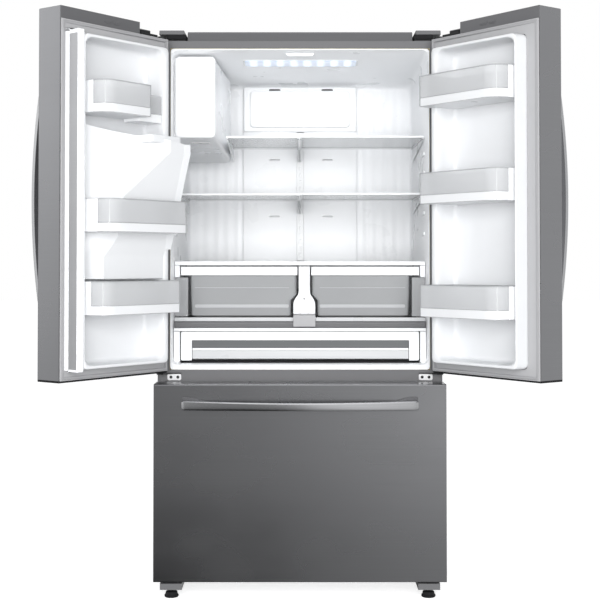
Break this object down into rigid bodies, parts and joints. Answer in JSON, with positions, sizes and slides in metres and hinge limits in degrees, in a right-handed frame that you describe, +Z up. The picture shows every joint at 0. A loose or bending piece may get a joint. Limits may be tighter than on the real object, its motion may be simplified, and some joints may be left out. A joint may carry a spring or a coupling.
{
  "type": "french door refrigerator",
  "caption": "Upright refrigerator standing open: two side-hinged doors over a wide cold compartment with shelves and bins, and a freezer drawer below.",
  "frame": {"origin": "on the floor, under the middle of the model's box with the doors standing open", "axes": "+X to the right of someone facing the doors, +Y into the cabinet, +Z up"},
  "size_m": [1.5974, 1.1656, 1.786],
  "materials": {
    "stainless_steel": "fine horizontal brushing, dark tint",
    "case_paint": "satin grey paint with a light grain",
    "white_plastic": "smooth white moulding",
    "clear_plastic": "clear grey-tinted plastic",
    "shelf_glass": "clear tempered glass",
    "gasket_rubber": "matte grey",
    "dark_plastic": "fine matte",
    "black_plastic": "matte",
    "black_steel": "black enamel",
    "hinge_steel": "bright plated steel",
    "fin_aluminium": "mill finish",
    "insulation_foam": "rigid foam"
  },
  "bodies": {
    "cabinet": {"cabinet_shell": "case_paint", "cabinet_foam": "insulation_foam", "fridge_liner": "white_plastic", "freezer_liner": "white_plastic", "front_foot_left": "black_plastic", "front_foot_right": "black_plastic", "drain_pan": "black_plastic", "compressor": "black_steel", "condenser": "fin_aluminium", "machine_cover": "case_paint", "top_table": "dark_plastic", "top_hinge_left": "black_steel", "top_hinge_right": "black_steel", "hinge_cover_left": "dark_plastic", "hinge_cover_right": "dark_plastic", "mid_hinge_left": "hinge_steel", "mid_hinge_right": "hinge_steel", "duct_cover": "white_plastic", "ice_maker_case": "white_plastic", "shelf_upper_left": "shelf_glass", "shelf_upper_right": "shelf_glass", "shelf_lower_left": "shelf_glass", "shelf_lower_right": "shelf_glass", "crisper_cover": "white_plastic", "centre_post": "white_plastic", "pantry_deck": "dark_plastic", "freezer_rail_left": "hinge_steel", "freezer_rail_right": "hinge_steel"},
    "left_door": {"left_door_panel": "stainless_steel", "left_door_liner": "white_plastic", "left_door_gasket": "gasket_rubber", "left_door_handle": "stainless_steel", "left_bin_top": "clear_plastic", "left_bin_middle": "clear_plastic", "left_bin_bottom": "clear_plastic", "ice_chute_housing": "white_plastic", "dispenser_well": "dark_plastic"},
    "right_door": {"right_door_panel": "stainless_steel", "right_door_liner": "white_plastic", "right_door_gasket": "gasket_rubber", "right_door_handle": "stainless_steel", "right_bin_top": "clear_plastic", "right_bin_middle": "clear_plastic", "right_bin_bottom": "clear_plastic"},
    "mullion": {"mullion_bar": "white_plastic"},
    "paddle": {"dispenser_paddle": "black_plastic"},
    "freezer_drawer": {"freezer_panel": "stainless_steel", "freezer_handle": "stainless_steel", "freezer_door_liner": "white_plastic", "freezer_gasket": "gasket_rubber", "freezer_basket": "clear_plastic"},
    "upper_drawer": {"freezer_upper_drawer": "clear_plastic"},
    "left_crisper": {"crisper_left": "clear_plastic"},
    "right_crisper": {"crisper_right": "clear_plastic"},
    "pantry": {"pantry_drawer": "clear_plastic"},
    "ice_bucket": {"ice_bucket": "white_plastic"},
    "left_caster": {"rear_caster_left": "black_plastic"},
    "right_caster": {"rear_caster_right": "black_plastic"},
    "condenser_fan": {"condenser_fan": "black_plastic"},
    "fridge_fan": {"fridge_fan": "white_plastic"}
  },
  "joints": [
    {"name": "left_door_hinge", "type": "hinge", "parent": "cabinet", "child": "left_door", "pos_m": [-0.4423, -0.1979, 1.2], "axis": [0, 0, -1], "range_deg": [-127.04, 0]},
    {"name": "right_door_hinge", "type": "hinge", "parent": "cabinet", "child": "right_door", "pos_m": [0.4423, -0.1979, 1.2], "axis": [0, 0, 1], "range_deg": [-127.04, 0]},
    {"name": "mullion_fold", "type": "hinge", "parent": "left_door", "child": "mullion", "pos_m": [-0.6682, -0.55792, 1.2], "axis": [0, 0, 1], "range_deg": [-90, 0]},
    {"name": "paddle_press", "type": "hinge", "parent": "left_door", "child": "paddle", "pos_m": [-0.6012, -0.34521, 1.3], "axis": [-0.6024, -0.7982, 0], "range_deg": [0, 6], "stiffness_Nm_per_rad": 0.4},
    {"name": "freezer_slide", "type": "slide", "parent": "cabinet", "child": "freezer_drawer", "axis": [0, -1, 0], "range_m": [0, 0.42]},
    {"name": "upper_drawer_slide", "type": "slide", "parent": "cabinet", "child": "upper_drawer", "axis": [0, -1, 0], "range_m": [0, 0.3]},
    {"name": "left_crisper_slide", "type": "slide", "parent": "cabinet", "child": "left_crisper", "axis": [0, -1, 0], "range_m": [0, 0.28]},
    {"name": "right_crisper_slide", "type": "slide", "parent": "cabinet", "child": "right_crisper", "axis": [0, -1, 0], "range_m": [0, 0.28]},
    {"name": "pantry_slide", "type": "slide", "parent": "cabinet", "child": "pantry", "axis": [0, -1, 0], "range_m": [0, 0.3]},
    {"name": "ice_bucket_slide", "type": "slide", "parent": "cabinet", "child": "ice_bucket", "axis": [0, -1, 0], "range_m": [0, 0.25]},
    {"name": "left_caster_roll", "type": "hinge", "parent": "cabinet", "child": "left_caster", "pos_m": [-0.38, 0.518, 0.022], "axis": [1, 0, 0], "continuous": true},
    {"name": "right_caster_roll", "type": "hinge", "parent": "cabinet", "child": "right_caster", "pos_m": [0.38, 0.518, 0.022], "axis": [1, 0, 0], "continuous": true},
    {"name": "condenser_fan_spin", "type": "hinge", "parent": "cabinet", "child": "condenser_fan", "pos_m": [-0.051, 0.453, 0.155], "axis": [1, 0, 0], "continuous": true},
    {"name": "fridge_fan_spin", "type": "hinge", "parent": "cabinet", "child": "fridge_fan", "pos_m": [0, 0.39, 1.595], "axis": [0, 1, 0], "continuous": true}
  ],
  "couplings": [
    {"joint": "upper_drawer_slide", "follows": "freezer_slide", "ratio": 0.7}
  ]
}
